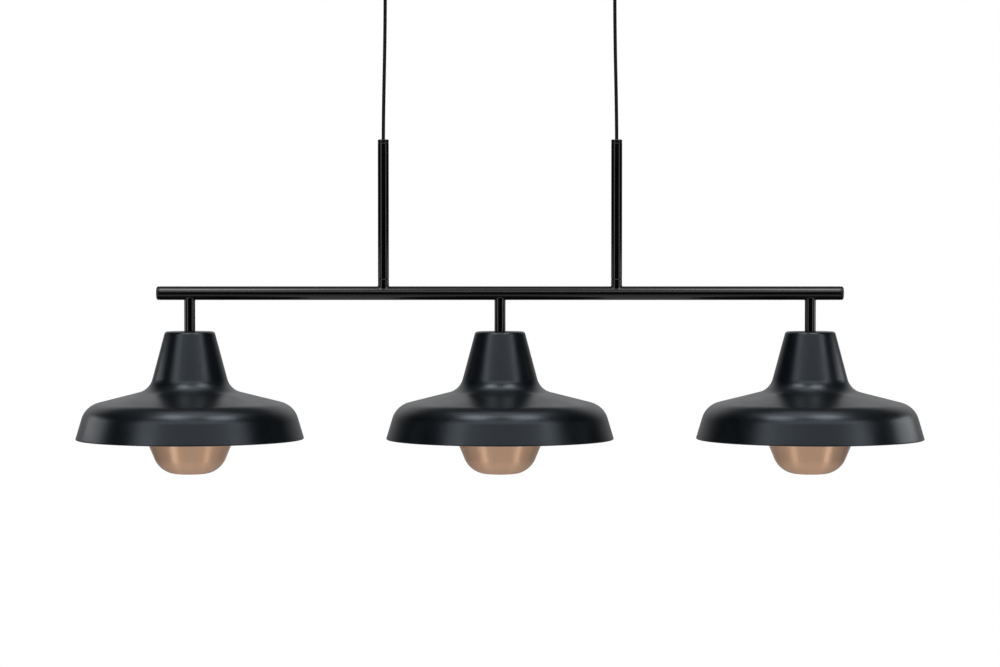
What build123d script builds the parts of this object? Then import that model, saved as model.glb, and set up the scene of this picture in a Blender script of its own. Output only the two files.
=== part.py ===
from build123d import *
import os
from math import asin, atan2, cos, degrees, pi, radians, sin, sqrt, tan

# A bar pendant with three spun shades, each with a copper bowl that hides the bulb.
# Millimetres and degrees. Z is up, and z = 0 is the ceiling. X runs along the bar.

# Overall layout
lamp_spacing = 450.0
tube_spacing = 338.0
grip_spacing = 332.0
cord_drop = 215.0

# Fits between pieces
press_gap = 0.05
thread_gap = 0.05
sliding_gap = 0.3
cord_gap = 0.1
screw_gap = 0.15
weld_gap = 0.05
edge_break = 0.4
seam_rounding = 0.8

# Bar and its end caps
bar_diameter = 20.0
bar_wall = 1.5
bar_overhang = 48.0
bar_wire_hole = 8.0
end_cap_band = 0.4
end_cap_rounding = 3.0
end_cap_plug = 12.0

# Suspension tubes, their caps, spigots and threaded feet
tube_diameter = 16.0
tube_wall = 1.5
tube_length = 197.0
tube_cap_head = 5.0
tube_cap_rounding = 1.4
tube_cap_plug = 10.0
spigot_height = 10.5
foot_length = 14.0

# Stems
stem_length = 45.5

# Hollow threaded nipples
nipple_diameter = 10.0
nipple_bore = 7.0
nipple_reach = 8.0

# Cord and inner wiring
cord_diameter = 5.0
cord_tube_straight = 26.0
cord_grip_straight = 52.0
cord_bend_share = 0.45
wire_diameter = 5.0
lead_diameter = 2.2
lead_bend = 7.0
lead_rise = 10.0

# Ceiling bracket
bracket_width = 30.0
bracket_sheet = 2.0
bracket_tab = 16.0
bracket_bend = 3.0
ceiling_slot_spacing = 160.0
ceiling_slot_width = 5.0
ceiling_slot_length = 16.0
cable_hole = 14.0
cable_hole_offset = 44.0

# Canopy and its screws
canopy_end_margin = 39.0
canopy_width = 64.0
canopy_wall = 1.2
canopy_corner = 12.0
canopy_edge = 4.0
canopy_screw_diameter = 4.0
canopy_screw_length = 8.0
canopy_screw_head = 9.0
canopy_screw_head_height = 4.0
canopy_screw_rounding = 1.0

# Cord grips, their nuts and clamp screws
grip_nose = 14.0
grip_flange_diameter = 20.0
grip_flange_height = 4.0
grip_mouth_diameter = 12.0
grip_nose_taper = 1.8
grip_mouth_flare = 1.0
grip_shank_diameter = 10.0
grip_shank_length = 9.0
grip_nut_width = 14.0
grip_nut_height = 4.0
grip_screw_diameter = 3.0
grip_screw_height = 7.0

# Terminal block
block_length = 36.0
block_width = 18.0
block_height = 14.0
block_screw_hole = 4.0
block_screw_depth = 6.0
block_poles = 3

# Shade, as the corners of its outer outline before rounding
shade_diameter = 330.0
shade_height = 156.5
shade_wall = 1.2
neck_top_diameter = 71.6
neck_foot_diameter = 116.6
neck_foot_depth = 84.4
brim_diameter = 302.0
brim_depth = 108.0
neck_rounding = 4.5
root_rounding = 27.0
brim_rounding = 33.0
rim_bead = 1.4

# Lampholder, from the bulb's base outwards
shell_wall = 0.6
skirt_room = 2.9
skirt_wall = 2.5
skirt_flange_width = 1.5
ring_width = 6.5
carrier_ring_width = 9.5
holder_wall = 2.0
holder_boss_diameter = 18.0
holder_boss_height = 6.0
holder_boss_floor = 4.0
holder_boss_rounding = 2.0
holder_shoulder_height = 7.0
holder_cap_height = 27.0
holder_rounding = 4.0
skirt_length = 38.0
skirt_flange = 3.0
skirt_lip = 5.0
ring_height = 8.0
ring_chamfer = 1.5
contact_block_height = 14.0
contact_block_recess = 2.0
contact_diameter = 8.0
contact_height = 2.0

# Bowl and its three-armed carrier
bowl_drop = 50.3
bowl_depth = 65.0
bowl_top_diameter = 138.6
bowl_base_diameter = 85.0
bowl_corner = 36.0
bowl_wall = 1.0
arm_count = 3
arm_width = 10.0
arm_sheet = 1.5
arm_ledge = 4.0
arm_bend = 5.0
arm_end_margin = 5.0
arm_elbow_rise = 1.5
bowl_screw_diameter = 3.0
bowl_screw_head = 6.0
bowl_screw_head_height = 1.8
bowl_screw_rounding = 1.44
bowl_screw_drop = 8.0
bowl_nut_width = 5.5
bowl_nut_height = 2.4

# Bulb
bulb_diameter = 60.0
bulb_neck = 7.7
bulb_shoulder = 47.3
glass_wall = 1.0
base_diameter = 26.4
base_wall = 0.8
base_cone = 4.0
base_tip_height = 2.0
base_tip_diameter = 9.0
base_length = 21.0

# Levels that follow from these sizes
lead_run_z = -(bracket_sheet + block_height / 2)
canopy_height = grip_shank_length + lead_rise - lead_run_z
canopy_floor_z = -canopy_height
grip_mouth_z = canopy_floor_z - grip_nose
tube_cap_z = grip_mouth_z - cord_drop
tube_top_z = tube_cap_z - tube_cap_head
tube_foot_z = tube_top_z - tube_length
bar_top_z = tube_foot_z - spigot_height
bar_axis_z = bar_top_z - bar_diameter / 2
bar_bottom_z = bar_top_z - bar_diameter
shade_top_z = bar_bottom_z - stem_length
rim_z = shade_top_z - shade_height
bowl_bottom_z = rim_z - bowl_drop
bowl_rim_z = bowl_bottom_z + bowl_depth
holder_top_z = shade_top_z - shade_wall
skirt_top_z = holder_top_z - holder_cap_height
carrier_top_z = skirt_top_z - skirt_flange
ring_top_z = carrier_top_z - arm_sheet
skirt_bottom_z = skirt_top_z - skirt_length
contact_block_top_z = skirt_top_z - contact_block_recess
shell_top_z = contact_block_top_z - contact_block_height
shell_bottom_z = skirt_bottom_z + skirt_lip
bulb_tip_z = shell_top_z - contact_height - sliding_gap
bulb_base_z = bulb_tip_z - base_length
bulb_centre_z = bulb_base_z - bulb_neck - bulb_shoulder
bulb_bottom_z = bulb_centre_z - bulb_diameter / 2

# Sizes that follow from these sizes
end_cap_head = seam_rounding + end_cap_band + end_cap_rounding
bar_length = 2 * lamp_spacing + 2 * bar_overhang
bar_tube_length = bar_length - 2 * end_cap_head
bar_bore = bar_diameter - 2 * bar_wall
tube_bore = tube_diameter - 2 * tube_wall
canopy_length = grip_spacing + 2 * canopy_end_margin
bracket_length = canopy_length - 2 * canopy_wall - 2 * sliding_gap
wire_z = bar_axis_z - bar_bore / 2 + wire_diameter / 2 + press_gap
shell_diameter = base_diameter + 2 * sliding_gap + 2 * shell_wall
skirt_bore = shell_diameter + 2 * skirt_room
skirt_diameter = skirt_bore + 2 * skirt_wall
holder_diameter = skirt_diameter + 2 * skirt_flange_width
ring_diameter = skirt_diameter + 2 * ring_width
carrier_ring_diameter = skirt_diameter + 2 * carrier_ring_width

sides = {"left": -1, "right": 1}
lamps = {"left": -lamp_spacing, "centre": 0.0, "right": lamp_spacing}


def turned(*corners):
    """A solid of revolution about Z, from corners of (radius, height) or (radius, height, rounding)."""
    points = [(corner[0], 0, corner[1]) for corner in corners]
    roundings = [corner[2] if len(corner) > 2 else 0 for corner in corners]
    outline = FilletPolyline(*points, radius=roundings, close=True)
    return revolve(make_face(outline.edges()), Axis.Z)


def post(radius, bottom, top):
    """An upright cylinder on the Z axis between two heights."""
    return Pos(0, 0, bottom) * Cylinder(radius, top - bottom, align=(Align.CENTER, Align.CENTER, Align.MIN))


def parallel(corners, distance):
    """An open outline of (radius, height) corners, moved to its right by a distance."""
    points = [Vector(*corner) for corner in corners]
    runs = [(end - start).normalized() for start, end in zip(points, points[1:])]
    normals = [Vector(run.Y, -run.X) for run in runs]
    moved = [points[0] + normals[0] * distance]
    for point, before, after in zip(points[1:], normals, normals[1:]):
        moved.append(point + (before + after) * (distance / (1 + before.dot(after))))
    moved.append(points[-1] + normals[-1] * distance)
    return [(point.X, point.Y) for point in moved]


def lift(points):
    """Points of (radius, height) in the plane of a turned outline."""
    return [(radius, 0, height) for radius, height in points]


def spread(count):
    """The turns that place copies evenly about Z, the first at the back."""
    return [Rot(0, 0, 90 + 360 * index / count) for index in range(count)]


# Ceiling fitting

def ceiling_bracket():
    """A steel strip on the ceiling, bent down at both ends, with two slots and a cable hole."""
    half = bracket_length / 2
    bottom = -bracket_tab
    path = [(-half, bottom), (-half, 0), (half, 0), (half, bottom)]
    inside = parallel(path, bracket_sheet)
    inner_bend = bracket_bend - bracket_sheet
    roundings = [0, bracket_bend, bracket_bend, 0, 0, inner_bend, inner_bend, 0]
    points = [(x, 0, z) for x, z in path + inside[::-1]]
    section = make_face(FilletPolyline(*points, radius=roundings, close=True).edges())
    strip = extrude(section, bracket_width / 2, dir=(0, 1, 0), both=True)
    for side in (-1, 1):
        slot = SlotOverall(ceiling_slot_length, ceiling_slot_width)
        strip -= Pos(side * ceiling_slot_spacing / 2, 0, 0) * extrude(slot, 2 * bracket_sheet, both=True)
    strip -= Pos(cable_hole_offset, 0, 0) * post(cable_hole / 2, -2 * bracket_sheet, bracket_sheet)
    thread = Cylinder(canopy_screw_diameter / 2 + thread_gap, canopy_length, rotation=(0, 90, 0))
    return strip - Pos(0, 0, canopy_screw_z()) * thread


def canopy_screw_z():
    """The height of the screws that hold the canopy, half way down the bracket's tabs."""
    return -(bracket_tab + bracket_bend) / 2


def canopy_block(length, width, corner, edge, top, bottom):
    """A box with rounded upright corners and a rounded lower edge."""
    block = extrude(RectangleRounded(length, width, corner), top - bottom)
    block = fillet(block.edges().group_by(Axis.Z)[0], edge)
    return Pos(0, 0, bottom) * block


def canopy():
    """The folded steel cover over the wiring, open towards the ceiling."""
    inner_length = canopy_length - 2 * canopy_wall
    inner_width = canopy_width - 2 * canopy_wall
    inner_corner = canopy_corner - canopy_wall
    inner_edge = canopy_edge - canopy_wall
    floor = canopy_floor_z + canopy_wall
    shell = canopy_block(canopy_length, canopy_width, canopy_corner, canopy_edge, 0, canopy_floor_z)
    shell -= canopy_block(inner_length, inner_width, inner_corner, inner_edge, canopy_height, floor)
    grip_hole = post(grip_shank_diameter / 2 + screw_gap, canopy_floor_z - canopy_wall, floor + canopy_wall)
    for side in sides.values():
        shell -= Pos(side * grip_spacing / 2, 0, 0) * grip_hole
    screw_hole = Cylinder(canopy_screw_diameter / 2 + screw_gap, 2 * canopy_length, rotation=(0, 90, 0))
    return shell - Pos(0, 0, canopy_screw_z()) * screw_hole


def canopy_screw():
    """A round-headed screw along Z, its head standing on z = 0."""
    head = turned(
        (0, 0),
        (canopy_screw_head / 2, 0),
        (canopy_screw_head / 2, canopy_screw_head_height, canopy_screw_rounding),
        (0, canopy_screw_head_height),
    )
    return head + post(canopy_screw_diameter / 2, -canopy_screw_length, 0)


def canopy_screws():
    """One screw through each end of the canopy into the bracket's tabs."""
    screw = canopy_screw()
    z = canopy_screw_z()
    return [Pos(side * canopy_length / 2, 0, z) * Rot(0, side * 90, 0) * screw for side in sides.values()]


def cord_grip():
    """A turned strain relief on the Z axis: a flange and nose under the canopy, a threaded shank above."""
    bore = cord_diameter / 2 + cord_gap
    seat = cord_diameter / 2 + sliding_gap
    seat_top = grip_mouth_z + cord_diameter / 2 + sliding_gap
    flange_z = canopy_floor_z - grip_flange_height
    body = turned(
        (bore, canopy_floor_z + grip_shank_length),
        (grip_shank_diameter / 2, canopy_floor_z + grip_shank_length, edge_break),
        (grip_shank_diameter / 2, canopy_floor_z),
        (grip_flange_diameter / 2, canopy_floor_z),
        (grip_flange_diameter / 2, flange_z, edge_break),
        (grip_mouth_diameter / 2 + grip_nose_taper, flange_z),
        (grip_mouth_diameter / 2, grip_mouth_z, edge_break),
        (seat + grip_mouth_flare, grip_mouth_z),
        (seat, grip_mouth_z + grip_mouth_flare),
        (seat, seat_top),
        (bore, seat_top),
    )
    hole = Cylinder(grip_screw_diameter / 2 + thread_gap, grip_flange_diameter, rotation=(-90, 0, 0),
                    align=(Align.CENTER, Align.CENTER, Align.MIN))
    return body - Pos(0, 0, grip_mouth_z + grip_screw_height) * hole


def grip_nut():
    """The hexagon nut on a cord grip's shank, on the canopy's floor."""
    floor = canopy_floor_z + canopy_wall
    hexagon = RegularPolygon(grip_nut_width / 2, 6, major_radius=False)
    nut = Pos(0, 0, floor) * extrude(hexagon, grip_nut_height)
    return nut - post(grip_shank_diameter / 2 + thread_gap, floor - grip_nut_height, 0)


def grip_screw():
    """The small screw at the back of a cord grip that pinches the cord."""
    start = cord_diameter / 2 + press_gap
    length = grip_mouth_diameter / 2 + edge_break - start
    screw = Cylinder(grip_screw_diameter / 2, length, rotation=(-90, 0, 0),
                     align=(Align.CENTER, Align.CENTER, Align.MIN))
    return Pos(0, start, grip_mouth_z + grip_screw_height) * screw


def cord_tail():
    """The cord's end inside its grip, up to where its leads come out."""
    bottom = grip_mouth_z + cord_diameter / 2 + sliding_gap
    return post(cord_diameter / 2, bottom, canopy_floor_z + grip_shank_length)


def terminal_block():
    """A moulded connector block under the bracket, with a row of screw wells."""
    top = -bracket_sheet
    block = Pos(0, 0, top - block_height / 2) * Box(block_length, block_width, block_height)
    block = fillet(block.edges().filter_by(Axis.Z), edge_break)
    well = post(block_screw_hole / 2, top - block_height - edge_break, top - block_height + block_screw_depth)
    pitch = block_length / block_poles
    for index in range(block_poles):
        block -= Pos((index - (block_poles - 1) / 2) * pitch, 0, 0) * well
    return block


def supply_leads():
    """Two insulated leads from each cord's end to the terminal block."""
    start_z = canopy_floor_z + grip_shank_length
    leads = []
    for side in sides.values():
        x = side * grip_spacing / 2
        for row in (-1, 1):
            y = row * cord_diameter / 4
            corner = (x, y, lead_run_z)
            end = (side * block_length / 2, y, lead_run_z)
            path = FilletPolyline((x, y, start_z), corner, end, radius=lead_bend)
            section = Plane((x, y, start_z), z_dir=(0, 0, 1)) * Circle(lead_diameter / 2)
            leads.append(sweep(section, path=path))
    return leads


# Cords

def cord_route(side):
    """The points of a free cord, from the foot of its tube cap up to its turning point in the grip."""
    tube_x = side * tube_spacing / 2
    grip_x = side * grip_spacing / 2
    foot_z = tube_top_z - tube_cap_plug
    return [
        (tube_x, 0, foot_z),
        (tube_x, 0, tube_cap_z + cord_tube_straight),
        (grip_x, 0, grip_mouth_z - cord_grip_straight),
        (grip_x, 0, grip_mouth_z),
    ]


def cord_radii(route):
    """A bend at each inner point, as large as its two runs allow."""
    points = [Vector(*point) for point in route]
    radii = []
    for before, point, after in zip(points, points[1:], points[2:]):
        turn = (point - before).get_angle(after - point)
        shorter = min((point - before).length, (after - point).length)
        radii.append(cord_bend_share * shorter / tan(radians(turn / 2)))
    return radii


def cord(side):
    """A taut cord, with a round top end that turns in the mouth of its grip."""
    route = cord_route(side)
    radii = cord_radii(route)
    path = FilletPolyline(*route, radius=radii)
    section = Plane(route[0], z_dir=(0, 0, 1)) * Circle(cord_diameter / 2)
    tube = sweep(section, path=path)
    expected = pi * cord_diameter ** 2 / 4 * path.length
    print("cord radii", [round(radius) for radius in radii], "length", round(path.length, 1),
          "volume ratio", round(tube.volume / expected, 4))
    return tube + Pos(*route[-1]) * Sphere(cord_diameter / 2, arc_size1=0)


# Suspension tubes

def tube():
    """A suspension tube on the Z axis, between its spigot and its cap."""
    return turned(
        (tube_bore / 2, tube_foot_z),
        (tube_diameter / 2, tube_foot_z, seam_rounding),
        (tube_diameter / 2, tube_top_z, seam_rounding),
        (tube_bore / 2, tube_top_z),
    )


def tube_cap():
    """The rounded cap of a suspension tube, pressed into it, with a hole for the cord."""
    bore = cord_diameter / 2 + cord_gap
    plug = tube_bore / 2 - press_gap
    return turned(
        (bore, tube_cap_z),
        (tube_diameter / 2, tube_cap_z, tube_cap_rounding),
        (tube_diameter / 2, tube_top_z, seam_rounding),
        (plug, tube_top_z),
        (plug, tube_top_z - tube_cap_plug),
        (bore, tube_top_z - tube_cap_plug),
    )


def threaded_foot(bottom):
    """A threaded insert pressed into the lower end of a tube or stem."""
    return turned(
        (nipple_diameter / 2 + thread_gap, bottom),
        (tube_bore / 2 - press_gap, bottom),
        (tube_bore / 2 - press_gap, bottom + foot_length),
        (nipple_diameter / 2 + thread_gap, bottom + foot_length),
    )


def bar_envelope():
    """The space of the bar, with the gap that its welded neighbours keep."""
    radius = bar_diameter / 2 + weld_gap
    return Pos(0, 0, bar_axis_z) * Cylinder(radius, bar_length, rotation=(0, 90, 0))


def spigot():
    """The short threaded collar under a suspension tube, coped to the top of the bar."""
    collar = turned(
        (nipple_diameter / 2 + thread_gap, bar_axis_z),
        (tube_diameter / 2, bar_axis_z),
        (tube_diameter / 2, tube_foot_z, seam_rounding),
        (nipple_diameter / 2 + thread_gap, tube_foot_z),
    )
    return collar - bar_envelope()


def nipple(seam, above, below):
    """A hollow threaded nipple across a seam between two pieces."""
    return turned(
        (nipple_bore / 2, seam - below),
        (nipple_diameter / 2, seam - below, edge_break),
        (nipple_diameter / 2, seam + above, edge_break),
        (nipple_bore / 2, seam + above),
    )


def threaded_nipples():
    """The nipples that join the tubes to their spigots, and the stems to shades and lampholders."""
    tube_nipple = nipple(tube_foot_z, nipple_reach, spigot_height - sliding_gap)
    stem_nipple = nipple(shade_top_z, nipple_reach, shade_wall + holder_boss_height + holder_boss_floor)
    nipples = [Pos(side * tube_spacing / 2, 0, 0) * tube_nipple for side in sides.values()]
    return nipples + [Pos(x, 0, 0) * stem_nipple for x in lamps.values()]


# Bar

def bar():
    """The horizontal tube, with holes for the wiring above and below."""
    tube_body = turned(
        (bar_bore / 2, -bar_tube_length / 2),
        (bar_diameter / 2, -bar_tube_length / 2, seam_rounding),
        (bar_diameter / 2, bar_tube_length / 2, seam_rounding),
        (bar_bore / 2, bar_tube_length / 2),
    )
    tube_body = Pos(0, 0, bar_axis_z) * Rot(0, 90, 0) * tube_body
    upper_hole = post(bar_wire_hole / 2, bar_axis_z, bar_top_z + bar_wall)
    lower_hole = post(bar_wire_hole / 2, bar_bottom_z - bar_wall, bar_axis_z)
    for side in sides.values():
        tube_body -= Pos(side * tube_spacing / 2, 0, 0) * upper_hole
    for x in lamps.values():
        tube_body -= Pos(x, 0, 0) * lower_hole
    return tube_body


def bar_end_cap(side):
    """A rounded cap pressed into one end of the bar."""
    plug = bar_bore / 2 - press_gap
    cap = turned(
        (0, -end_cap_plug),
        (plug, -end_cap_plug, edge_break),
        (plug, 0),
        (bar_diameter / 2, 0, seam_rounding),
        (bar_diameter / 2, end_cap_head, end_cap_rounding),
        (0, end_cap_head),
    )
    return Pos(side * bar_tube_length / 2, 0, bar_axis_z) * Rot(0, side * 90, 0) * cap


def inner_wiring():
    """Wires down the suspension tubes, along the bar and down each stem to its lampholder."""
    radius = wire_diameter / 2
    trunk_length = 2 * lamp_spacing + wire_diameter
    trunk = Pos(0, 0, wire_z) * Cylinder(radius, trunk_length, rotation=(0, 90, 0))
    feed = post(radius, wire_z + radius + press_gap, tube_top_z - tube_cap_plug)
    drop = post(radius, contact_block_top_z, wire_z - radius - press_gap)
    feeds = [Pos(side * tube_spacing / 2, 0, 0) * feed for side in sides.values()]
    drops = [Pos(x, 0, 0) * drop for x in lamps.values()]
    return [trunk] + feeds + drops


# Lamp heads, each on the Z axis

def stem():
    """A short tube, coped to the underside of the bar, that stands on the shade."""
    pipe = turned(
        (tube_bore / 2, shade_top_z),
        (tube_diameter / 2, shade_top_z, edge_break),
        (tube_diameter / 2, bar_axis_z),
        (tube_bore / 2, bar_axis_z),
    )
    return pipe - bar_envelope()


def shade():
    """A spun metal shade: neck cone, sloping brim and skirt, with a rolled bead at the rim."""
    hole = nipple_diameter / 2 + screw_gap
    outer = [
        (hole, shade_top_z),
        (neck_top_diameter / 2, shade_top_z),
        (neck_foot_diameter / 2, shade_top_z - neck_foot_depth),
        (brim_diameter / 2, shade_top_z - brim_depth),
    ]
    bead_centre = Vector(shade_diameter / 2 - rim_bead, rim_z + rim_bead)
    to_bead = bead_centre - Vector(*outer[-1])
    side_run = to_bead.normalized().rotate(Axis.Z, degrees(asin(rim_bead / to_bead.length)))
    inward = Vector(side_run.Y, -side_run.X)
    bead_start = bead_centre - inward * rim_bead
    outer.append((bead_start.X, bead_start.Y))
    bead_back = sqrt(rim_bead ** 2 - (rim_bead - shade_wall) ** 2)
    bead_end = bead_start + inward * shade_wall - side_run * bead_back
    bead_middle = bead_centre + (inward + side_run).normalized() * rim_bead
    inner = parallel(outer, shade_wall)
    inner[-1] = (bead_end.X, bead_end.Y)
    outside = FilletPolyline(*lift(outer), radius=[neck_rounding, root_rounding, brim_rounding])
    inside = FilletPolyline(
        *lift(inner),
        radius=[neck_rounding - shade_wall, root_rounding + shade_wall, brim_rounding - shade_wall],
    )
    bead = ThreePointArc(*lift([(point.X, point.Y) for point in (bead_start, bead_middle, bead_end)]))
    top = Line(*lift([outer[0], inner[0]]))
    section = make_face(outside.edges() + inside.edges() + bead.edges() + top.edges())
    return revolve(section, Axis.Z)


def holder_cap():
    """The top half of the lampholder, screwed on the nipple under the shade."""
    bore = nipple_diameter / 2 + thread_gap
    boss = holder_boss_diameter / 2
    radius = holder_diameter / 2
    boss_z = holder_top_z - holder_boss_height
    shoulder_z = boss_z - holder_shoulder_height
    floor_z = boss_z - holder_boss_floor
    return turned(
        (bore, holder_top_z),
        (boss, holder_top_z),
        (boss, boss_z, holder_boss_rounding),
        (radius, shoulder_z, holder_rounding),
        (radius, skirt_top_z),
        (radius - holder_wall, skirt_top_z),
        (radius - holder_wall, shoulder_z - holder_wall, holder_rounding - holder_wall),
        (boss, floor_z),
        (bore, floor_z),
    )


def holder_skirt():
    """The lower half of the lampholder: a flange, an outside thread for the ring and a lip at the mouth."""
    bore = skirt_bore / 2
    lip = base_diameter / 2 + 2 * sliding_gap
    return turned(
        (bore, skirt_top_z),
        (holder_diameter / 2, skirt_top_z),
        (holder_diameter / 2, carrier_top_z),
        (skirt_diameter / 2, carrier_top_z),
        (skirt_diameter / 2, skirt_bottom_z, edge_break),
        (lip, skirt_bottom_z),
        (lip, shell_bottom_z),
        (bore, shell_bottom_z),
    )


def holder_ring():
    """The ring that clamps the bowl carrier against the lampholder's flange."""
    bore = skirt_diameter / 2 + thread_gap
    return turned(
        (bore, ring_top_z),
        (ring_diameter / 2, ring_top_z, edge_break),
        (ring_diameter / 2, ring_top_z - ring_height + ring_chamfer, edge_break),
        (ring_diameter / 2 - ring_chamfer, ring_top_z - ring_height),
        (bore, ring_top_z - ring_height),
    )


def contact_block():
    """The ceramic block in the lampholder that carries the contacts."""
    return post(skirt_bore / 2 - screw_gap, shell_top_z, contact_block_top_z)


def screw_shell():
    """The metal sleeve that takes the bulb's base."""
    outside = shell_diameter / 2
    inside = outside - shell_wall
    return post(outside, shell_bottom_z, shell_top_z) - post(inside, shell_bottom_z, shell_top_z)


def centre_contact():
    """The contact at the middle of the lampholder."""
    return post(contact_diameter / 2, shell_top_z - contact_height, shell_top_z)


def bowl_wall_line():
    """The foot and the top of the bowl's outer wall, as if its corner were sharp."""
    return Vector(bowl_base_diameter / 2, bowl_bottom_z), Vector(bowl_top_diameter / 2, bowl_rim_z)


def bowl_wall_slope():
    """The angle between the bowl's wall and upright."""
    foot, top = bowl_wall_line()
    return degrees(atan2(top.X - foot.X, top.Y - foot.Y))


def bowl_screw_place():
    """The frame of a bowl screw: on the bowl's outer wall, below its rim, with Z pointing out of the wall."""
    foot, top = bowl_wall_line()
    along = (top - foot).normalized()
    point = top - along * bowl_screw_drop
    return Pos(point.X, 0, point.Y) * Rot(0, 90 + bowl_wall_slope(), 0)


def bowl():
    """The copper bowl under the bulb, with three holes for its screws."""
    foot, top = bowl_wall_line()
    outer = [(0, bowl_bottom_z), (foot.X, foot.Y), (top.X, top.Y)]
    inner = parallel(outer, -bowl_wall)
    inner[-1] = (top.X - bowl_wall / cos(radians(bowl_wall_slope())), top.Y)
    outside = FilletPolyline(*lift(outer), radius=[bowl_corner])
    inside = FilletPolyline(*lift(inner), radius=[bowl_corner - bowl_wall])
    rim = Line(*lift([outer[-1], inner[-1]]))
    axis = Line(*lift([outer[0], inner[0]]))
    dish = revolve(make_face(outside.edges() + inside.edges() + rim.edges() + axis.edges()), Axis.Z)
    hole = bowl_screw_place() * post(bowl_screw_diameter / 2 + screw_gap, -3 * bowl_wall, bowl_wall)
    for turn in spread(arm_count):
        dish -= turn * hole
    return dish


def arm_stand_off():
    """How far a flat arm stands off the round bowl behind it, so that its edges just clear the wall."""
    foot, top = bowl_wall_line()
    end = top - (top - foot).normalized() * (bowl_screw_drop + arm_end_margin)
    return arm_width ** 2 / (8 * (end.X - bowl_wall)) + press_gap


def bowl_carrier():
    """A pressed sheet ring with three bent arms, clamped on the lampholder, that carries the bowl."""
    foot, top = bowl_wall_line()
    down = (foot - top).normalized()
    inward = Vector(down.Y, -down.X)
    middle_z = carrier_top_z - arm_sheet / 2
    seat = bowl_wall + arm_stand_off() + arm_sheet / 2
    elbow = top + inward * seat - down * arm_elbow_rise
    tail = elbow + down * (arm_elbow_rise + bowl_screw_drop + arm_end_margin)
    knee = (carrier_ring_diameter / 2 + arm_ledge, middle_z)
    start = ((skirt_diameter / 2 + carrier_ring_diameter / 2) / 2, middle_z)
    corners = [start, knee, (elbow.X, elbow.Y), (tail.X, tail.Y)]
    path = FilletPolyline(*lift(corners), radius=arm_bend)
    across = Plane(*lift([start]), x_dir=(0, 1, 0), z_dir=(1, 0, 0))
    arm = sweep(across * Rectangle(arm_width, arm_sheet), path=path)
    hole = bowl_screw_place() * post(bowl_screw_diameter / 2 + screw_gap, -3 * seat, 0)
    arm -= hole
    ring = turned(
        (skirt_diameter / 2 + screw_gap, carrier_top_z),
        (carrier_ring_diameter / 2, carrier_top_z),
        (carrier_ring_diameter / 2, ring_top_z),
        (skirt_diameter / 2 + screw_gap, ring_top_z),
    )
    for turn in spread(arm_count):
        ring += turn * arm
    return ring


def bowl_screws():
    """The screws that hold the bowl on the carrier's arms, each with its nut inside."""
    head_seat = press_gap
    nut_seat = -(bowl_wall + arm_stand_off() + arm_sheet)
    shank = bowl_screw_diameter / 2
    screw = turned(
        (0, nut_seat - bowl_nut_height - edge_break),
        (shank, nut_seat - bowl_nut_height - edge_break),
        (shank, head_seat),
        (bowl_screw_head / 2, head_seat),
        (bowl_screw_head / 2, head_seat + bowl_screw_head_height, bowl_screw_rounding),
        (0, head_seat + bowl_screw_head_height),
    )
    hexagon = RegularPolygon(bowl_nut_width / 2, 6, major_radius=False)
    nut = Pos(0, 0, nut_seat - bowl_nut_height) * extrude(hexagon, bowl_nut_height)
    nut -= post(shank + thread_gap, nut_seat - 2 * bowl_nut_height, nut_seat + bowl_nut_height)
    place = bowl_screw_place()
    return [turn * place * piece for turn in spread(arm_count) for piece in (screw, nut)]


def bulb_base():
    """The bulb's metal screw base, a thin cup with its contact at the top."""
    outer = [
        (0, bulb_tip_z),
        (base_tip_diameter / 2, bulb_tip_z),
        (base_tip_diameter / 2, bulb_tip_z - base_tip_height),
        (base_diameter / 2, bulb_tip_z - base_tip_height - base_cone),
        (base_diameter / 2, bulb_base_z),
    ]
    inner = parallel(outer, base_wall)
    points = lift(outer + inner[::-1])
    return revolve(make_face(Polyline(*points, close=True).edges()), Axis.Z)


def glass_outline(inset):
    """The bulb's outline from its neck to its bottom, moved inwards by an inset."""
    neck = base_diameter / 2
    ball = bulb_diameter / 2
    blend = (neck ** 2 + bulb_shoulder ** 2 - ball ** 2) / (2 * (ball - neck))
    blend_x = neck + blend
    blend_z = bulb_centre_z + bulb_shoulder
    blend_angle = atan2(bulb_shoulder, blend_x)
    half_blend = blend_angle / 2
    low_angle = (blend_angle - pi / 2) / 2
    ball_radius = ball - inset
    blend_radius = blend + inset
    start = (neck - inset, bulb_base_z)
    bend = (neck - inset, blend_z)
    blend_middle = (blend_x - blend_radius * cos(half_blend), blend_z - blend_radius * sin(half_blend))
    join = (ball_radius * cos(blend_angle), bulb_centre_z + ball_radius * sin(blend_angle))
    low = (ball_radius * cos(low_angle), bulb_centre_z + ball_radius * sin(low_angle))
    bottom = (0, bulb_centre_z - ball_radius)
    neck_line = Line(*lift([start, bend]))
    blend_arc = ThreePointArc(*lift([bend, blend_middle, join]))
    ball_arc = ThreePointArc(*lift([join, low, bottom]))
    return neck_line.edges() + blend_arc.edges() + ball_arc.edges(), start, bottom


def bulb_glass():
    """The bulb's thin opal glass."""
    outside, outer_start, outer_bottom = glass_outline(0)
    inside, inner_start, inner_bottom = glass_outline(glass_wall)
    neck_edge = Line(*lift([outer_start, inner_start]))
    axis = Line(*lift([outer_bottom, inner_bottom]))
    return revolve(make_face(outside + inside + neck_edge.edges() + axis.edges()), Axis.Z)


# All pieces in place

def at_lamps(piece):
    """A copy of a piece at each of the three lamps, in one group."""
    return [Pos(x, 0, 0) * piece for x in lamps.values()]


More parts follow.
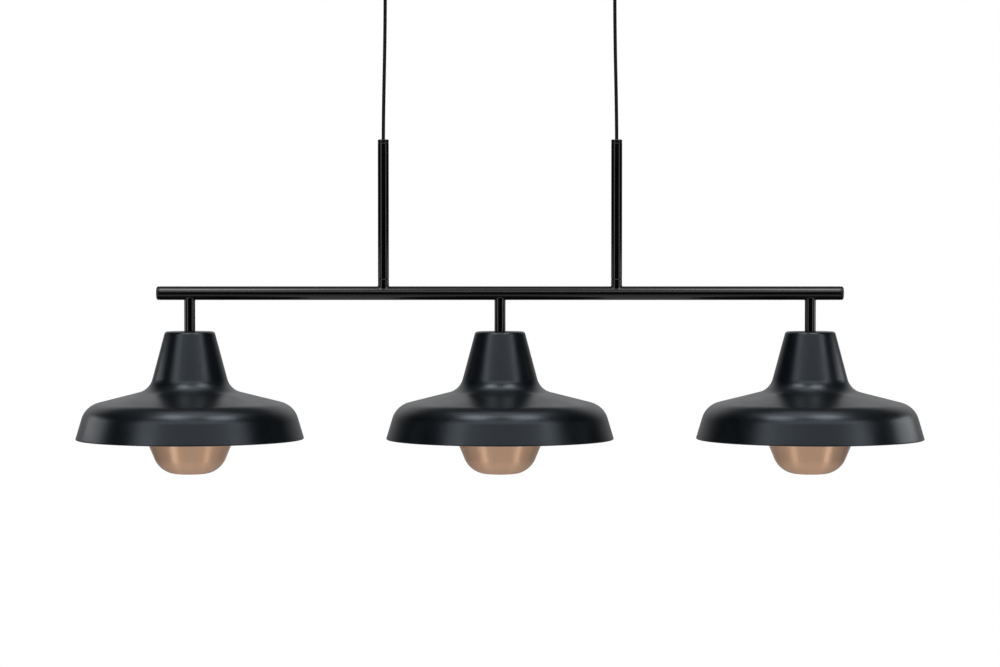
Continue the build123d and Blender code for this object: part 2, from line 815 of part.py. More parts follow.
def make_nodes():
    """Every node's name, with its solids in place."""
    nodes = {
        "ceiling_bracket": [ceiling_bracket()],
        "canopy": [canopy()],
        "canopy_screws": canopy_screws(),
        "terminal_block": [terminal_block()],
        "supply_leads": supply_leads(),
        "bar": [bar()],
        "threaded_nipples": threaded_nipples(),
        "inner_wiring": inner_wiring(),
        "stem_feet": at_lamps(threaded_foot(shade_top_z)),
        "contact_blocks": at_lamps(contact_block()),
        "screw_shells": at_lamps(screw_shell()),
        "centre_contacts": at_lamps(centre_contact()),
    }
    grip_places = [Pos(side * grip_spacing / 2, 0, 0) for side in sides.values()]
    tube_places = [Pos(side * tube_spacing / 2, 0, 0) for side in sides.values()]
    nodes["grip_nuts"] = [place * grip_nut() for place in grip_places]
    nodes["grip_screws"] = [place * grip_screw() for place in grip_places]
    nodes["cord_tails"] = [place * cord_tail() for place in grip_places]
    nodes["tube_feet"] = [place * threaded_foot(tube_foot_z) for place in tube_places]
    for name, side in sides.items():
        nodes[f"cord_grip_{name}"] = [Pos(side * grip_spacing / 2, 0, 0) * cord_grip()]
        nodes[f"cord_{name}"] = [cord(side)]
        nodes[f"bar_end_cap_{name}"] = [bar_end_cap(side)]
        for node, make in (("tube", tube), ("tube_cap", tube_cap), ("spigot", spigot)):
            nodes[f"{node}_{name}"] = [Pos(side * tube_spacing / 2, 0, 0) * make()]
    heads = {
        "stem": stem,
        "shade": shade,
        "holder_cap": holder_cap,
        "holder_skirt": holder_skirt,
        "holder_ring": holder_ring,
        "bowl_carrier": bowl_carrier,
        "bowl": bowl,
        "bulb_base": bulb_base,
        "bulb_glass": bulb_glass,
    }
    for node, make in heads.items():
        piece = make()
        for name, x in lamps.items():
            nodes[f"{node}_{name}"] = [Pos(x, 0, 0) * piece]
    screws = bowl_screws()
    for name, x in lamps.items():
        nodes[f"bowl_screws_{name}"] = [Pos(x, 0, 0) * screw for screw in screws]
    return nodes


def main():
    os.makedirs("parts", exist_ok=True)
    for name, pieces in make_nodes().items():
        solids = [solid for piece in pieces for solid in piece.solids()]
        node = solids[0] if len(solids) == 1 else Compound(children=solids)
        export_step(node, f"parts/{name}.step")


if __name__ == "__main__":
    main()
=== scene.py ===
import math

import bmesh
import bpy
from mathutils import Matrix, Vector


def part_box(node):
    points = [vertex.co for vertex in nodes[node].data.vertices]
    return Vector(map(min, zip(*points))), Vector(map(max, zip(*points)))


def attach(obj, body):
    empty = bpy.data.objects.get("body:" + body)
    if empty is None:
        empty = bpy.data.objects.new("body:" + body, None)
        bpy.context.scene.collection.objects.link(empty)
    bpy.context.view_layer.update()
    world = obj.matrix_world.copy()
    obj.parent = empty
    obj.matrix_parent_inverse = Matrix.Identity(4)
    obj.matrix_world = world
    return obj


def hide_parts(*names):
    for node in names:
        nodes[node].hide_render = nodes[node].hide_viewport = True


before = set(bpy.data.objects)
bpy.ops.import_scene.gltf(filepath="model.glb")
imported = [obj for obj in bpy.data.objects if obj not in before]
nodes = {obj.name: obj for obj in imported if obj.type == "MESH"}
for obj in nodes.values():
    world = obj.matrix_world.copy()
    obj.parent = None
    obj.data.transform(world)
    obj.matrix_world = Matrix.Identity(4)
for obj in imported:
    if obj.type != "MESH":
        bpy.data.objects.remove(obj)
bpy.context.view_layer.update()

# Sizes and places, in metres, in the frame of the solids
side_signs = {"left": -1, "right": 1}
lamp_names = ("left", "centre", "right")
bar_low, bar_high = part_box("bar")
bar_axis_z = (bar_low.z + bar_high.z) / 2
bar_radius = (bar_high.z - bar_low.z) / 2
stem_low, stem_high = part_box("stem_right")
lamp_spacing = (stem_low.x + stem_high.x) / 2
shade_rim_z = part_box("shade_centre")[0].z
rim_bead_height = 0.0028

# The cord's centreline on the right-hand side, from inside the tube up into the ceiling grip
cord_diameter = 0.005
cord_route = [
    (0.169, 0.0, -0.272),
    (0.169, 0.0, -0.231),
    (0.166, 0.0, -0.094),
    (0.166, 0.0, -0.042),
]
cord_steps = 24
cord_roundness = 6

# The weld where a post meets the bar
weld_leg = 0.0011
weld_sink = 0.0004
weld_steps = 5
weld_sides = 96

# A bulb's screw base: a cone and a contact above the thread, a plain band below it
thread_pitch = 0.0036
thread_depth = 0.0010
thread_step = 0.0003
thread_sides = 96
base_band = 0.0026
base_cone = 0.0040
base_tip_height = 0.0020
base_tip_radius = 0.0045
base_wall = 0.0008

# The flutes round a lampholder's clamp ring
flute_count = 40
flute_steps = 8
flute_depth = 0.0006
ring_edge = 0.0004
ring_chamfer = 0.0015

# The driver slots in the screws
slot_share = 1.2
first_bowl_screw = math.pi / 2
bowl_base_radius = 0.0425
bowl_screw_drop = 0.0080
bowl_screw_count = 3
bowl_screw_head = {"radius": 0.0030, "height": 0.0018, "slot_width": 0.0008, "slot_depth": 0.0008}
canopy_screw_head = {"radius": 0.0045, "height": 0.0040, "slot_width": 0.0012, "slot_depth": 0.0014}
grip_screw_head = {"radius": 0.0015, "height": 0.0, "slot_width": 0.0006, "slot_depth": 0.0008}

# How meshes are joined and shaded
weld_distance = 0.000001
sharp_angle = 35.0

# Colours of the finishes
shade_black = (0.0008, 0.0017, 0.0026, 1.0)
shade_white = (0.83, 0.82, 0.79, 1.0)
tube_black = (0.0010, 0.0010, 0.0010, 1.0)
cord_black = (0.003, 0.003, 0.0031, 1.0)
holder_black = (0.016, 0.016, 0.017, 1.0)
copper_dark = (0.612, 0.385, 0.258, 1.0)
copper_light = (0.755, 0.485, 0.332, 1.0)
zinc_grey = (0.62, 0.62, 0.60, 1.0)
brass_yellow = (0.66, 0.50, 0.24, 1.0)
nickel_grey = (0.66, 0.64, 0.60, 1.0)
opal_dark = (0.86, 0.85, 0.82, 1.0)
opal_light = (0.90, 0.89, 0.87, 1.0)
plastic_white = (0.78, 0.78, 0.75, 1.0)
ceramic_white = (0.82, 0.81, 0.77, 1.0)
wire_brown = (0.20, 0.12, 0.07, 1.0)
cool_sheen = (0.79, 0.89, 1.0, 1.0)
neutral_sheen = (0.90, 0.90, 0.90, 1.0)

# Patterns in the finishes, with scales in cycles per metre
paint_patches = {"scale": 35.0, "detail": 4.0}
shade_patches = {"scale": 30.0, "detail": 4.0}
satin_grain = {"scale": 1400.0, "detail": 2.0}
lacquer_grain = {"scale": 260.0, "detail": 2.0}
fine_rings = {"scale": 2000.0, "detail": 3.0}
broad_rings = {"scale": 400.0, "detail": 2.0}
metal_clouds = {"scale": 160.0, "detail": 5.0}
metal_scratches = {"scale": 2200.0, "detail": 2.0}
moulding_speckle = {"scale": 420.0, "detail": 4.0}
moulding_grain = {"scale": 1500.0, "detail": 2.0}
glass_clouds = {"scale": 45.0, "detail": 3.0}

# Depths of the relief in the finishes, in metres
satin_relief = 0.000002
lacquer_relief = 0.0000002
brush_relief = 0.000004
scratch_relief = 0.000008
sheath_relief = 0.000001

# How a pattern plays in a finish: shares of its colour, and steps in its roughness
noise_spread = (0.3, 0.7)
paint_play = {"shares": (0.85, 1.15), "steps": (-0.02, 0.02)}
metal_play = {"shares": (0.82, 1.0), "steps": (-0.06, 0.08)}
moulding_play = {"shares": (0.88, 1.06), "steps": (-0.04, 0.05)}

# Paint: its gloss, and the shades' black outside and matt white inside
paint_gloss = 0.56
shade_black_shares = (0.88, 1.12)
shade_white_shares = (0.97, 1.0)
satin_roughness = (0.29, 0.33)
inside_matting = 0.22

# Brushed copper: how far a streak runs round the bowl, and how rings of two sizes make up the streaks
brush_run = 0.0012
brush_anisotropy = 0.85
brush_rotation = 0.25
fine_share = 0.6
broad_share = 0.4
streak_spread = (0.25, 0.75)
copper_roughness = (0.30, 0.40)

# Places of the colour sockets on Blender's Mix node
mix_factor = 0
mix_first = 6
mix_second = 7
mix_result = 2

# Camera at the photograph's viewing angle
camera_place = (0.0, -4.35, -0.412)
camera_target = (0.0, 0.0, -0.538)
camera_lens = 108.0
camera_sensor = 36.0

# Studio: a pale floor well below the lamp, and soft boxes at angles in degrees from the camera's side
floor_z = -2.4
floor_radius = 7.0
floor_fade = 3.0
floor_sides = 128
floor_colour = (0.80, 0.80, 0.79, 1.0)
floor_roughness = 0.9
floor_paleness = 0.45
lamp_centre = Vector((0.0, 0.0, -0.52))
soft_boxes = {
    "left_box": dict(azimuth=-50, elevation=2, distance=3.0, spread=18, rise=64, radiance=1.7),
    "right_box": dict(azimuth=56, elevation=2, distance=3.0, spread=16, rise=64, radiance=1.7),
    "front_box": dict(azimuth=4, elevation=26, distance=3.0, spread=90, rise=14, radiance=0.85),
    "upper_front_box": dict(azimuth=4, elevation=39, distance=3.0, spread=90, rise=10, radiance=2.2),
    "top_left_box": dict(azimuth=-38, elevation=58, distance=2.6, spread=22, rise=22, radiance=5.0),
    "top_right_box": dict(azimuth=40, elevation=58, distance=2.6, spread=22, rise=22, radiance=5.0),
    "left_rim_box": dict(azimuth=-97.5, elevation=0, distance=1.04, spread=20, rise=10, radiance=1.6),
    "right_rim_box": dict(azimuth=97.5, elevation=0, distance=1.04, spread=20, rise=10, radiance=2.2),
    "top_box": dict(azimuth=0, elevation=82, distance=2.2, spread=60, rise=36, radiance=1.2),
}

# Studio world: ranges of a direction's backward or upward part, and the strengths that they fade between
backdrop_sides = (0.50, 0.95)
backdrop_top = (0.50, 0.75)
backdrop_lift = (0.05, 0.40)
backdrop_strength = (0.38, 0.72)
ceiling_lift = (0.60, 0.85)
ceiling_strength = (0.004, 0.14)
ambient_strength = 0.40
white = (1.0, 1.0, 1.0, 1.0)


def add_node(tree, kind, settings=None, inputs=None):
    """Adds a shader node, with its settings, and with its inputs given as values or as sockets to link."""
    made = tree.nodes.new("ShaderNode" + kind)
    for name, value in (settings or {}).items():
        setattr(made, name, value)
    for name, value in (inputs or {}).items():
        if isinstance(value, bpy.types.NodeSocket):
            tree.links.new(value, made.inputs[name])
        else:
            made.inputs[name].default_value = value
    return made


def math_node(tree, operation, *values):
    """The result of one arithmetic step on sockets or numbers."""
    inputs = dict(enumerate(values))
    return add_node(tree, "Math", {"operation": operation}, inputs).outputs[0]


def vector_node(tree, operation, *vectors):
    """The outputs of one arithmetic step on vectors."""
    inputs = dict(enumerate(vectors))
    return add_node(tree, "VectorMath", {"operation": operation}, inputs).outputs


def combined(tree, x=0.0, y=0.0, z=0.0):
    """A vector made of three sockets or numbers."""
    return add_node(tree, "CombineXYZ", None, {"X": x, "Y": y, "Z": z}).outputs[0]


def separated(tree, vector):
    """The X, Y and Z of a vector."""
    return add_node(tree, "SeparateXYZ", None, {0: vector}).outputs


def ranged(tree, value, source, result):
    """A value spread smoothly from one range to another."""
    low, high = source
    to_low, to_high = result
    inputs = {"Value": value, "From Min": low, "From Max": high, "To Min": to_low, "To Max": to_high}
    return add_node(tree, "MapRange", {"interpolation_type": "SMOOTHSTEP"}, inputs).outputs["Result"]


def mixed(tree, factor, first, second):
    """A colour between two colours."""
    inputs = {mix_factor: factor, mix_first: first, mix_second: second}
    return add_node(tree, "Mix", {"data_type": "RGBA"}, inputs).outputs[mix_result]


def noise(tree, vector, scale, detail):
    """Smooth noise between 0 and 1, with a scale in cycles per metre."""
    inputs = {"Vector": vector, "Scale": scale, "Detail": detail}
    return add_node(tree, "TexNoise", None, inputs).outputs[0]


def new_material(name, values):
    """A material with one Principled shader, whose constant values are set on its own sockets."""
    made = bpy.data.materials.new(name)
    made.use_nodes = True
    tree = made.node_tree
    shader = tree.nodes["Principled BSDF"]
    for socket, value in values.items():
        shader.inputs[socket].default_value = value
    return made, tree, shader


def object_place(tree):
    """Coordinates in the frame of the solids, in metres."""
    return add_node(tree, "TexCoord").outputs["Object"]


def lamp_place(tree):
    """Coordinates measured from the upright axis of the nearest lamp."""
    place = separated(tree, object_place(tree))
    lamp = math_node(tree, "ROUND", math_node(tree, "DIVIDE", place["X"], lamp_spacing))
    axis_x = math_node(tree, "MULTIPLY", lamp, lamp_spacing)
    along = math_node(tree, "SUBTRACT", place["X"], axis_x)
    return along, place["Y"], place["Z"]


def add_bump(tree, shader, height, depth):
    """Raises the surface by a height pattern whose full depth is in metres."""
    bump = add_node(tree, "Bump", None, {"Strength": 1.0, "Distance": depth, "Height": height})
    tree.links.new(bump.outputs[0], shader.inputs["Normal"])


def tints(colour, shares):
    """The same colour, made lighter or darker by each share."""
    return [tuple(channel * share for channel in colour[:3]) + (1.0,) for share in shares]


def vary(tree, shader, pattern, colour, roughness, shares, steps):
    """Lets a pattern change the colour by shares and the roughness by steps."""
    dark, light = tints(colour, shares)
    tree.links.new(mixed(tree, pattern, dark, light), shader.inputs["Base Color"])
    between = [roughness + step for step in steps]
    tree.links.new(ranged(tree, pattern, noise_spread, between), shader.inputs["Roughness"])


def painted_metal(name, colour, sheen, roughness, grain, relief):
    """Baked paint on metal: a fine orange-peel grain and a slightly uneven gloss and colour."""
    made, tree, shader = new_material(name, {"Specular IOR Level": paint_gloss, "Specular Tint": sheen})
    place = object_place(tree)
    vary(tree, shader, noise(tree, place, **paint_patches), colour, roughness, **paint_play)
    add_bump(tree, shader, noise(tree, place, **grain), relief)
    return made


def shade_paint():
    """Satin black paint outside and round the rolled rim, and matt white inside each shade."""
    values = {"Specular IOR Level": paint_gloss, "Specular Tint": cool_sheen}
    made, tree, shader = new_material("shade_paint", values)
    along, across, height = lamp_place(tree)
    above_rim = math_node(tree, "SUBTRACT", height, shade_rim_z)
    outward = combined(tree, along, across, above_rim)
    facing = add_node(tree, "TexCoord").outputs["Normal"]
    turned = vector_node(tree, "DOT_PRODUCT", outward, facing)["Value"]
    is_turned_in = math_node(tree, "LESS_THAN", turned, 0.0)
    is_over_bead = math_node(tree, "GREATER_THAN", above_rim, rim_bead_height)
    is_inside = math_node(tree, "MULTIPLY", is_turned_in, is_over_bead)
    place = object_place(tree)
    patches = noise(tree, place, **shade_patches)
    outside_colour = mixed(tree, patches, *tints(shade_black, shade_black_shares))
    inside_colour = mixed(tree, patches, *tints(shade_white, shade_white_shares))
    tree.links.new(mixed(tree, is_inside, outside_colour, inside_colour), shader.inputs["Base Color"])
    satin = ranged(tree, patches, noise_spread, satin_roughness)
    matt = math_node(tree, "MULTIPLY", is_inside, inside_matting)
    tree.links.new(math_node(tree, "ADD", satin, matt), shader.inputs["Roughness"])
    add_bump(tree, shader, noise(tree, place, **satin_grain), satin_relief)
    return made


def brushed_copper():
    """Spun copper, brushed round the bowl: fine rings that streak the gloss and the colour."""
    values = {"Metallic": 1.0, "Anisotropic": brush_anisotropy, "Anisotropic Rotation": brush_rotation}
    made, tree, shader = new_material("brushed_copper", values)
    along, across, height = lamp_place(tree)
    flat = combined(tree, along, across)
    radius = vector_node(tree, "LENGTH", flat)["Value"]
    bearing = vector_node(tree, "NORMALIZE", flat)["Vector"]
    run = {0: bearing, "Scale": brush_run}
    around = add_node(tree, "VectorMath", {"operation": "SCALE"}, run).outputs["Vector"]
    up_side = combined(tree, z=math_node(tree, "ADD", radius, height))
    rings = vector_node(tree, "ADD", around, up_side)["Vector"]
    fine = noise(tree, rings, **fine_rings)
    broad = noise(tree, rings, **broad_rings)
    fine_part = math_node(tree, "MULTIPLY", fine, fine_share)
    broad_part = math_node(tree, "MULTIPLY", broad, broad_share)
    streak = math_node(tree, "ADD", fine_part, broad_part)
    tree.links.new(mixed(tree, streak, copper_dark, copper_light), shader.inputs["Base Color"])
    tree.links.new(ranged(tree, streak, streak_spread, copper_roughness), shader.inputs["Roughness"])
    tangent = add_node(tree, "Tangent", {"direction_type": "RADIAL", "axis": "Z"})
    tree.links.new(tangent.outputs[0], shader.inputs["Tangent"])
    add_bump(tree, shader, fine, brush_relief)
    return made


def worn_metal(name, colour, roughness):
    """Plain plated or turned metal with a cloudy gloss and fine scratches."""
    made, tree, shader = new_material(name, {"Metallic": 1.0})
    place = object_place(tree)
    vary(tree, shader, noise(tree, place, **metal_clouds), colour, roughness, **metal_play)
    add_bump(tree, shader, noise(tree, place, **metal_scratches), scratch_relief)
    return made


def moulded(name, colour, roughness, relief, gloss=0.5):
    """Moulded plastic or pressed ceramic with a faint surface texture."""
    made, tree, shader = new_material(name, {"Specular IOR Level": gloss})
    place = object_place(tree)
    vary(tree, shader, noise(tree, place, **moulding_speckle), colour, roughness, **moulding_play)
    add_bump(tree, shader, noise(tree, place, **moulding_grain), relief)
    return made


def opal_glass():
    """A bulb's white coated glass."""
    values = {"Roughness": 0.18, "Subsurface Weight": 0.25, "Subsurface Scale": 0.004, "Coat Weight": 0.6}
    made, tree, shader = new_material("opal_glass_bulb", values)
    clouds = noise(tree, object_place(tree), **glass_clouds)
    tree.links.new(mixed(tree, clouds, opal_dark, opal_light), shader.inputs["Base Color"])
    return made


def all_materials():
    """One material for each slot of the record."""
    return {
        "shade_black": shade_paint(),
        "tube_black": painted_metal("tube_lacquer", tube_black, neutral_sheen, roughness=0.15,
                                    grain=lacquer_grain, relief=lacquer_relief),
        "canopy_black": painted_metal("canopy_paint", shade_black, cool_sheen, roughness=0.31,
                                      grain=satin_grain, relief=satin_relief),
        "copper": brushed_copper(),
        "cord_black": moulded("cord_sheath", cord_black, roughness=0.50, relief=sheath_relief, gloss=0.18),
        "holder_black": moulded("moulded_black", holder_black, roughness=0.40, relief=0.000010),
        "zinc_steel": worn_metal("zinc_plate", zinc_grey, roughness=0.34),
        "contact_brass": worn_metal("contact_brass_metal", brass_yellow, roughness=0.28),
        "bulb_base_metal": worn_metal("bulb_base_nickel", nickel_grey, roughness=0.26),
        "opal_glass": opal_glass(),
        "white_plastic": moulded("white_moulding", plastic_white, roughness=0.40, relief=0.000008),
        "white_ceramic": moulded("white_ceramic_block", ceramic_white, roughness=0.30, relief=0.000006),
        "wire_sheath": moulded("wire_insulation", wire_brown, roughness=0.38, relief=0.000008),
    }


def dress_solids(materials):
    """Gives every solid the material of its slot."""
    for solid in nodes.values():
        for place in solid.material_slots:
            place.material = materials[place.material.name.split(".")[0]]


def add_cord(side, material):
    """One hanging cord, straight up out of its tube and leaning a little in to its grip."""
    sign = side_signs[side]
    curve = bpy.data.curves.new("hanging_cord_" + side, "CURVE")
    curve.dimensions = "3D"
    spline = curve.splines.new("NURBS")
    spline.points.add(len(cord_route) - 1)
    for point, (x, y, z) in zip(spline.points, cord_route):
        point.co = (sign * x, y, z, 1.0)
    spline.order_u = 3
    spline.use_endpoint_u = True
    spline.resolution_u = cord_steps
    curve.bevel_depth = cord_diameter / 2
    curve.bevel_resolution = cord_roundness
    curve.use_fill_caps = True
    curve.materials.append(material)
    cord = bpy.data.objects.new("hanging_cord_" + side, curve)
    bpy.context.scene.collection.objects.link(cord)
    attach(cord, "lamp")
    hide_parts("cord_" + side)


def riding_piece(name, data, material, body):
    """An object of a mesh, smooth but for its sharp edges and flat faces, that rides on a body."""
    carried_normals = data.attributes.get("custom_normal")
    if carried_normals:
        data.attributes.remove(carried_normals)
    mesh = bmesh.new()
    mesh.from_mesh(data)
    for face in mesh.faces:
        face.smooth = True
    for edge in mesh.edges:
        edge.smooth = edge.calc_face_angle(math.pi) < math.radians(sharp_angle)
    mesh.to_mesh(data)
    mesh.free()
    data.materials.clear()
    data.materials.append(material)
    piece = bpy.data.objects.new(name, data)
    bpy.context.scene.collection.objects.link(piece)
    flatter = piece.modifiers.new("flat_faces", "WEIGHTED_NORMAL")
    flatter.keep_sharp = True
    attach(piece, body)
    return piece


def ringed_mesh(name, grid, capped=False):
    """A closed mesh from rings of points, joined in turn, then back to the first ring or capped."""
    mesh = bmesh.new()
    rings = [[mesh.verts.new(point) for point in ring] for ring in grid]
    following = rings[1:] if capped else rings[1:] + rings[:1]
    for here, there in zip(rings, following):
        for index in range(len(here)):
            after = (index + 1) % len(here)
            mesh.faces.new((here[index], here[after], there[after], there[index]))
    if capped:
        mesh.faces.new(rings[0])
        mesh.faces.new(rings[-1])
    bmesh.ops.recalc_face_normals(mesh, faces=mesh.faces)
    data = bpy.data.meshes.new(name)
    mesh.to_mesh(data)
    mesh.free()
    return data


def axis_and_radius(low, high):
    """The X of a round upright piece's axis and the piece's radius, from its box."""
    return (low.x + high.x) / 2, (high.x - low.x) / 2


def level_ring(axis_x, z, sides, radius_at):
    """A level ring of points round an upright axis, with a radius that may change with the turn."""
    ring = []
    for index in range(sides):
        turn = 2 * math.pi * index / sides
        radius = radius_at(turn)
        ring.append(Vector((axis_x + radius * math.cos(turn), radius * math.sin(turn), z)))
    return ring


def saddle_ring(axis_x, radius, lift, upward):
    """A ring of points round an upright post, on a level that follows the bar's round surface."""
    ring = []
    for index in range(weld_sides):
        turn = 2 * math.pi * index / weld_sides
        across = radius * math.sin(turn)
        level = math.sqrt(bar_radius ** 2 - across ** 2) + lift
        ring.append(Vector((axis_x + radius * math.cos(turn), across, bar_axis_z + upward * level)))
    return ring


def add_weld(post, upward, material):
    """The small hollow fillet of weld round a post that is coped to the bar."""
    axis_x, radius = axis_and_radius(*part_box(post))
    post_edge = saddle_ring(axis_x, radius, weld_leg, upward)
    corner = saddle_ring(axis_x, radius, 0.0, upward)
    bar_edge = saddle_ring(axis_x, radius + weld_leg, 0.0, upward)
    grid = []
    for step in range(weld_steps + 1):
        share = step / weld_steps
        weights = ((1 - share) ** 2, 2 * share * (1 - share), share ** 2)
        grid.append([sum((w * p for w, p in zip(weights, points)), Vector())
                     for points in zip(post_edge, corner, bar_edge)])
    grid.append(saddle_ring(axis_x, radius - weld_sink, -weld_sink, upward))
    data = ringed_mesh("weld_" + post, grid)
    riding_piece("weld_" + post, data, material, "lamp")


def add_bulb_base(lamp_name, material):
    """A bulb's rolled metal base, with its round thread running out at both ends."""
    node = "bulb_base_" + lamp_name
    low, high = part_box(node)
    axis_x, crest = axis_and_radius(low, high)
    inside = crest - thread_depth - base_wall
    tip_foot = high.z - base_tip_height
    thread_top = tip_foot - base_cone
    thread_length = thread_top - low.z - base_band

    def plain_ring(radius, z):
        return level_ring(axis_x, z, thread_sides, lambda turn: radius)

    def thread_ring(height):
        run_out = min(1.0, height / thread_pitch, (thread_length - height) / thread_pitch)

        def radius_at(turn):
            wave = 0.5 - 0.5 * math.cos(2 * math.pi * height / thread_pitch - turn)
            return crest - thread_depth * run_out * wave

        return level_ring(axis_x, low.z + base_band + height, thread_sides, radius_at)

    steps = round(thread_length / thread_step)
    grid = [plain_ring(base_tip_radius, high.z), plain_ring(base_tip_radius, tip_foot)]
    grid += [thread_ring(thread_length * step / steps) for step in range(steps, -1, -1)]
    grid += [plain_ring(crest, low.z), plain_ring(inside, low.z), plain_ring(inside, thread_top)]
    grid += [plain_ring(base_tip_radius - base_wall, tip_foot - base_wall)]
    name = "threaded_base_" + lamp_name
    data = ringed_mesh(name, grid, capped=True)
    base = riding_piece(name, data, material, "bulb_" + lamp_name)
    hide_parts(node)


def add_clamp_ring(lamp_name, material):
    """The lampholder's clamp ring, with flutes to grip it by."""
    node = "holder_ring_" + lamp_name
    low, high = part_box(node)
    axis_x, outside = axis_and_radius(low, high)
    bore = min(math.hypot(point.co.x - axis_x, point.co.y) for point in nodes[node].data.vertices)

    def fluted_ring(radius, z, share):
        def radius_at(turn):
            return radius - share * flute_depth * (0.5 - 0.5 * math.cos(flute_count * turn))

        return level_ring(axis_x, z, flute_count * flute_steps, radius_at)

    grid = [
        fluted_ring(bore, high.z, 0.0),
        fluted_ring(outside - ring_edge, high.z, 1.0),
        fluted_ring(outside, high.z - ring_edge, 1.0),
        fluted_ring(outside, low.z + ring_chamfer, 1.0),
        fluted_ring(outside - ring_chamfer, low.z, 0.0),
        fluted_ring(bore, low.z, 0.0),
    ]
    name = "fluted_ring_" + lamp_name
    ring = riding_piece(name, ringed_mesh(name, grid), material, "lamp")
    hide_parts(node)


def slot_cutter(places, head):
    """An object of slabs, each across the top of a screw's head at a point and along a direction."""
    mesh = bmesh.new()
    size = Vector((2 * slot_share * head["radius"], head["slot_width"], 2 * head["slot_depth"]))
    for point, direction in places:
        turn = direction.to_track_quat("Z", "Y").to_matrix().to_4x4()
        place = Matrix.Translation(point) @ turn @ Matrix.Diagonal(size.to_4d())
        bmesh.ops.create_cube(mesh, size=1.0, matrix=place)
    data = bpy.data.meshes.new("slot_cutter")
    mesh.to_mesh(data)
    mesh.free()
    cutter = bpy.data.objects.new("slot_cutter", data)
    bpy.context.scene.collection.objects.link(cutter)
    return cutter


def add_slotted_screws(node, places, head, material, body):
    """The screws of a node, with a driver slot across each head."""
    mesh = bmesh.new()
    mesh.from_mesh(nodes[node].data)
    bmesh.ops.remove_doubles(mesh, verts=mesh.verts, dist=weld_distance)
    data = bpy.data.meshes.new("slotted_" + node)
    mesh.to_mesh(data)
    mesh.free()
    blank = bpy.data.objects.new("screw_blank", data)
    bpy.context.scene.collection.objects.link(blank)
    cutter = slot_cutter(places, head)
    cut = blank.modifiers.new("slots", "BOOLEAN")
    cut.operation = "DIFFERENCE"
    cut.solver = "EXACT"
    cut.object = cutter
    evaluated = blank.evaluated_get(bpy.context.evaluated_depsgraph_get())
    cut_mesh = bpy.data.meshes.new_from_object(evaluated)
    for spent in (blank, cutter):
        bpy.data.objects.remove(spent)
    screws = riding_piece("slotted_" + node, cut_mesh, material, body)
    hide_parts(node)


def bowl_screw_places(lamp_name):
    """The tops of a bowl's screw heads, with the way that they face."""
    low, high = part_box("bowl_" + lamp_name)
    axis_x, rim_radius = axis_and_radius(low, high)
    rim = Vector((rim_radius, high.z))
    foot = Vector((bowl_base_radius, low.z))
    down = (foot - rim).normalized()
    outward = Vector((-down.y, down.x))
    top = rim + bowl_screw_drop * down + bowl_screw_head["height"] * outward
    places = []
    for index in range(bowl_screw_count):
        turn = Matrix.Rotation(first_bowl_screw + 2 * math.pi * index / bowl_screw_count, 3, "Z")
        point = Vector((axis_x, 0.0, 0.0)) + turn @ Vector((top.x, 0.0, top.y))
        places.append((point, turn @ Vector((outward.x, 0.0, outward.y))))
    return places


def canopy_screw_places():
    """The tops of the two screw heads on the canopy's ends, with the way that they face."""
    low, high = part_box("canopy_screws")
    level = (low.z + high.z) / 2
    ends = (low.x, high.x)
    return [(Vector((x, 0.0, level)), Vector((math.copysign(1.0, x), 0.0, 0.0))) for x in ends]


def grip_screw_places():
    """The outer ends of the set screws at the back of the two cord grips, with the way that they face."""
    low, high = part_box("grip_screws")
    level = (low.z + high.z) / 2
    reach = high.x - grip_screw_head["radius"]
    backward = Vector((0.0, 1.0, 0.0))
    return [(Vector((sign * reach, high.y, level)), backward) for sign in side_signs.values()]


def add_camera():
    """A long lens, a little above the bar and looking slightly down."""
    lens = bpy.data.cameras.new("camera")
    lens.lens = camera_lens
    lens.sensor_width = camera_sensor
    camera = bpy.data.objects.new("camera", lens)
    camera.location = camera_place
    aim = Vector(camera_target) - Vector(camera_place)
    camera.rotation_euler = aim.to_track_quat("-Z", "Y").to_euler()
    bpy.context.scene.collection.objects.link(camera)
    bpy.context.scene.camera = camera


def floor_material():
    """A pale floor that fades out towards its edge and can't be seen from below."""
    values = {"Base Color": floor_colour, "Roughness": floor_roughness}
    made, tree, shader = new_material("studio_floor", values)
    place = separated(tree, object_place(tree))
    reach = vector_node(tree, "LENGTH", combined(tree, place["X"], place["Y"]))["Value"]
    fading = ranged(tree, reach, (floor_radius - floor_fade, floor_radius), (0.0, 1.0))
    behind = add_node(tree, "NewGeometry").outputs["Backfacing"]
    hidden = math_node(tree, "MAXIMUM", fading, behind)
    clear = add_node(tree, "BsdfTransparent")
    seen = add_node(tree, "LightPath").outputs["Is Camera Ray"]
    paleness = math_node(tree, "MULTIPLY", seen, floor_paleness)
    glow = add_node(tree, "Emission", None, {"Strength": paleness})
    pale = add_node(tree, "AddShader", None, {0: shader.outputs[0], 1: glow.outputs[0]})
    both = add_node(tree, "MixShader", None, {0: hidden, 1: pale.outputs[0], 2: clear.outputs[0]})
    output = tree.nodes["Material Output"]
    tree.links.new(both.outputs[0], output.inputs["Surface"])
    return made


def add_floor():
    """The studio floor, a round sheet well below the lamp."""
    mesh = bmesh.new()
    bmesh.ops.create_circle(mesh, cap_ends=True, radius=floor_radius, segments=floor_sides)
    data = bpy.data.meshes.new("studio_floor")
    mesh.to_mesh(data)
    mesh.free()
    data.materials.append(floor_material())
    floor = bpy.data.objects.new("studio_floor", data)
    floor.location = (0.0, 0.0, floor_z)
    bpy.context.scene.collection.objects.link(floor)


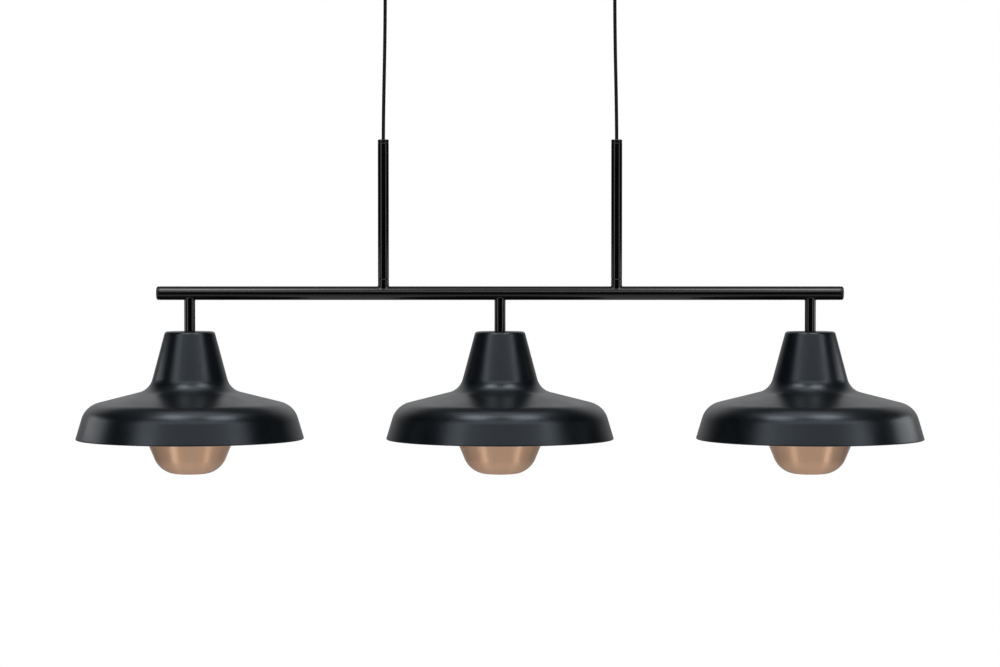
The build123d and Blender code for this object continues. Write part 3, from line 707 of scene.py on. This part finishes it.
def add_soft_box(name, azimuth, elevation, distance, spread, rise, radiance):
    """A rectangular light that faces the lamp from a side, and spreads and rises over two angles there."""
    width = 2 * distance * math.tan(math.radians(spread / 2))
    height = 2 * distance * math.tan(math.radians(rise / 2))
    light = bpy.data.lights.new(name, "AREA")
    light.shape = "RECTANGLE"
    light.size = width
    light.size_y = height
    light.energy = radiance * math.pi * width * height
    turn = math.radians(azimuth)
    lift = math.radians(elevation)
    towards = Vector((math.sin(turn) * math.cos(lift), -math.cos(turn) * math.cos(lift), math.sin(lift)))
    box = bpy.data.objects.new(name, light)
    box.location = lamp_centre + distance * towards
    box.rotation_euler = (-towards).to_track_quat("-Z", "Y").to_euler()
    box.visible_camera = False
    bpy.context.scene.collection.objects.link(box)


def studio_world():
    """White for the camera, a sheet behind and a dim ceiling for gloss, and soft grey for plain light."""
    world = bpy.data.worlds.new("studio")
    world.use_nodes = True
    bpy.context.scene.world = world
    tree = world.node_tree
    background = tree.nodes["Background"]
    background.inputs["Color"].default_value = white
    path = add_node(tree, "LightPath").outputs
    direction = separated(tree, add_node(tree, "TexCoord").outputs["Generated"])
    level = combined(tree, direction["X"], direction["Y"])
    backward = separated(tree, vector_node(tree, "NORMALIZE", level)["Vector"])["Y"]
    behind = ranged(tree, backward, backdrop_sides, (0.0, 1.0))
    below_top = ranged(tree, direction["Z"], backdrop_top, (1.0, 0.0))
    lit_from_above = ranged(tree, direction["Z"], backdrop_lift, backdrop_strength)
    sheet = math_node(tree, "MULTIPLY", below_top, lit_from_above)
    backdrop = math_node(tree, "MULTIPLY", behind, sheet)
    ceiling = ranged(tree, direction["Z"], ceiling_lift, ceiling_strength)
    seen_in_gloss = math_node(tree, "MAXIMUM", backdrop, ceiling)
    mirror_ray = math_node(tree, "MAXIMUM", path["Is Glossy Ray"], path["Is Transmission Ray"])
    plain_ray = math_node(tree, "SUBTRACT", 1.0, mirror_ray)
    in_gloss = math_node(tree, "MULTIPLY", mirror_ray, seen_in_gloss)
    in_light = math_node(tree, "MULTIPLY", plain_ray, ambient_strength)
    unseen = math_node(tree, "ADD", in_gloss, in_light)
    strength = math_node(tree, "MAXIMUM", unseen, path["Is Camera Ray"])
    tree.links.new(strength, background.inputs["Strength"])


materials = all_materials()
dress_solids(materials)
for cord_side in side_signs:
    add_cord(cord_side, materials["cord_black"])
    add_weld("spigot_" + cord_side, 1, materials["tube_black"])
for lamp in lamp_names:
    add_weld("stem_" + lamp, -1, materials["tube_black"])
    add_bulb_base(lamp, materials["bulb_base_metal"])
    add_clamp_ring(lamp, materials["holder_black"])
    add_slotted_screws("bowl_screws_" + lamp, bowl_screw_places(lamp), bowl_screw_head,
                       materials["zinc_steel"], "lamp")
add_slotted_screws("canopy_screws", canopy_screw_places(), canopy_screw_head,
                   materials["tube_black"], "ceiling_fitting")
add_slotted_screws("grip_screws", grip_screw_places(), grip_screw_head,
                   materials["zinc_steel"], "ceiling_fitting")
add_camera()
add_floor()
for box_name, box_place in soft_boxes.items():
    add_soft_box(box_name, **box_place)
studio_world()
bpy.context.scene.view_settings.view_transform = "Standard"
